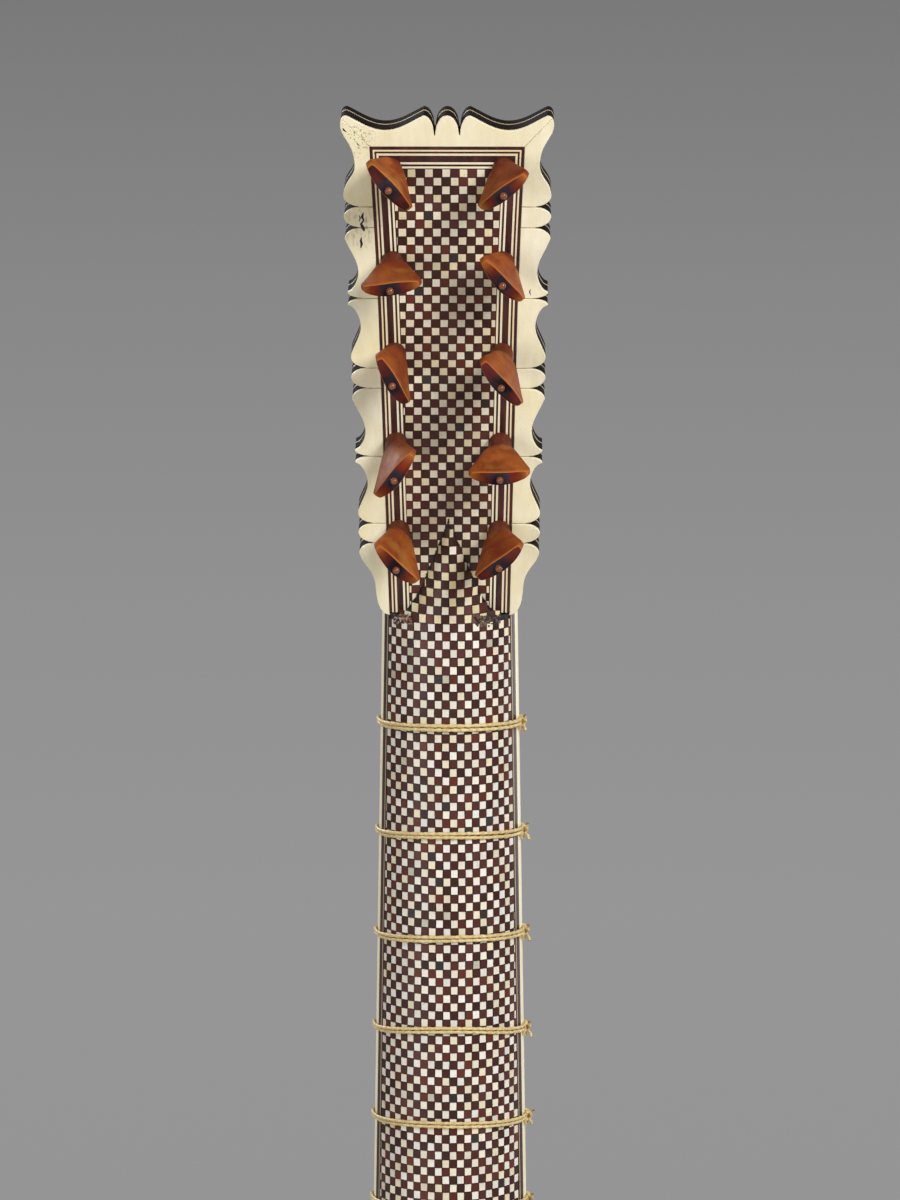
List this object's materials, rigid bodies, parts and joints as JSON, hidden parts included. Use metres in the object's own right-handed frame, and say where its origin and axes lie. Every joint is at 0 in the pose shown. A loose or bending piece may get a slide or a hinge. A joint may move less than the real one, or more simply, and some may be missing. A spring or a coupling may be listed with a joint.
{
  "type": "baroque guitar",
  "caption": "Five-course gut-strung guitar with a flat scalloped peghead, friction pegs set from behind, tied frets, a chequered neck and a vaulted back.",
  "frame": {"origin": "centre of the tail button's flat end", "axes": "+Z from the tail button up the neck, -Y out of the soundboard, +X towards the treble side, which is the right-hand side seen from the front"},
  "size_m": [0.248, 0.1092, 0.9889],
  "materials": {
    "boxwood": "waxed",
    "gut": "satin",
    "bone": "polished, aged",
    "parquetry": "polished",
    "ebony": "polished",
    "snakewood": "polished",
    "spruce": "thin varnish",
    "softwood": "raw",
    "parchment": "matte"
  },
  "bodies": {
    "body": {"string_treble_1": "gut", "string_treble_2": "gut", "string_treble_3": "gut", "string_treble_4": "gut", "string_treble_5": "gut", "string_bass_1": "gut", "string_bass_2": "gut", "string_bass_3": "gut", "string_bass_4": "gut", "string_bass_5": "gut", "fret_1": "gut", "fret_2": "gut", "fret_3": "gut", "fret_4": "gut", "fret_5": "gut", "fret_6": "gut", "fret_7": "gut", "fret_8": "gut", "head_border_treble": "bone", "head_border_bass": "bone", "head_border_top": "bone", "neck_edge_treble": "bone", "neck_edge_bass": "bone", "nut": "bone", "top_binding": "bone", "tail_button": "bone", "head_panel": "parquetry", "neck_veneer": "parquetry", "neck_spur": "parquetry", "head_core": "ebony", "fingerboard": "ebony", "bridge": "ebony", "head_front_plate": "snakewood", "side_treble": "snakewood", "side_bass": "snakewood", "heel": "snakewood", "back_stave_1": "snakewood", "back_stave_2": "snakewood", "back_stave_3": "snakewood", "back_stave_4": "snakewood", "back_stave_5": "snakewood", "back_stave_6": "snakewood", "back_stave_7": "snakewood", "soundboard": "spruce", "neck_core": "softwood", "neck_block": "softwood", "tail_block": "softwood", "brace_upper": "softwood", "brace_lower": "softwood", "rose": "parchment"},
    "peg_treble_1_turning": {"peg_treble_1": "boxwood"},
    "peg_treble_2_turning": {"peg_treble_2": "boxwood"},
    "peg_treble_3_turning": {"peg_treble_3": "boxwood"},
    "peg_treble_4_turning": {"peg_treble_4": "boxwood"},
    "peg_treble_5_turning": {"peg_treble_5": "boxwood"},
    "peg_bass_1_turning": {"peg_bass_1": "boxwood"},
    "peg_bass_2_turning": {"peg_bass_2": "boxwood"},
    "peg_bass_3_turning": {"peg_bass_3": "boxwood"},
    "peg_bass_4_turning": {"peg_bass_4": "boxwood"},
    "peg_bass_5_turning": {"peg_bass_5": "boxwood"}
  },
  "joints": [
    {"name": "peg_treble_1_turn", "type": "hinge", "parent": "body", "child": "peg_treble_1_turning", "pos_m": [0.01686, -0.0112, 0.84551], "axis": [0, 0.9636, -0.2672], "continuous": true},
    {"name": "peg_treble_2_turn", "type": "hinge", "parent": "body", "child": "peg_treble_2_turning", "pos_m": [0.01721, -0.00262, 0.87645], "axis": [0, 0.9636, -0.2672], "continuous": true},
    {"name": "peg_treble_3_turn", "type": "hinge", "parent": "body", "child": "peg_treble_3_turning", "pos_m": [0.01756, 0.00596, 0.90738], "axis": [0, 0.9636, -0.2672], "continuous": true},
    {"name": "peg_treble_4_turn", "type": "hinge", "parent": "body", "child": "peg_treble_4_turning", "pos_m": [0.01792, 0.01454, 0.93831], "axis": [0, 0.9636, -0.2672], "continuous": true},
    {"name": "peg_treble_5_turn", "type": "hinge", "parent": "body", "child": "peg_treble_5_turning", "pos_m": [0.01827, 0.02312, 0.96924], "axis": [0, 0.9636, -0.2672], "continuous": true},
    {"name": "peg_bass_1_turn", "type": "hinge", "parent": "body", "child": "peg_bass_1_turning", "pos_m": [-0.01686, -0.0112, 0.84551], "axis": [0, 0.9636, -0.2672], "continuous": true},
    {"name": "peg_bass_2_turn", "type": "hinge", "parent": "body", "child": "peg_bass_2_turning", "pos_m": [-0.01721, -0.00262, 0.87645], "axis": [0, 0.9636, -0.2672], "continuous": true},
    {"name": "peg_bass_3_turn", "type": "hinge", "parent": "body", "child": "peg_bass_3_turning", "pos_m": [-0.01756, 0.00596, 0.90738], "axis": [0, 0.9636, -0.2672], "continuous": true},
    {"name": "peg_bass_4_turn", "type": "hinge", "parent": "body", "child": "peg_bass_4_turning", "pos_m": [-0.01792, 0.01454, 0.93831], "axis": [0, 0.9636, -0.2672], "continuous": true},
    {"name": "peg_bass_5_turn", "type": "hinge", "parent": "body", "child": "peg_bass_5_turning", "pos_m": [-0.01827, 0.02312, 0.96924], "axis": [0, 0.9636, -0.2672], "continuous": true}
  ]
}
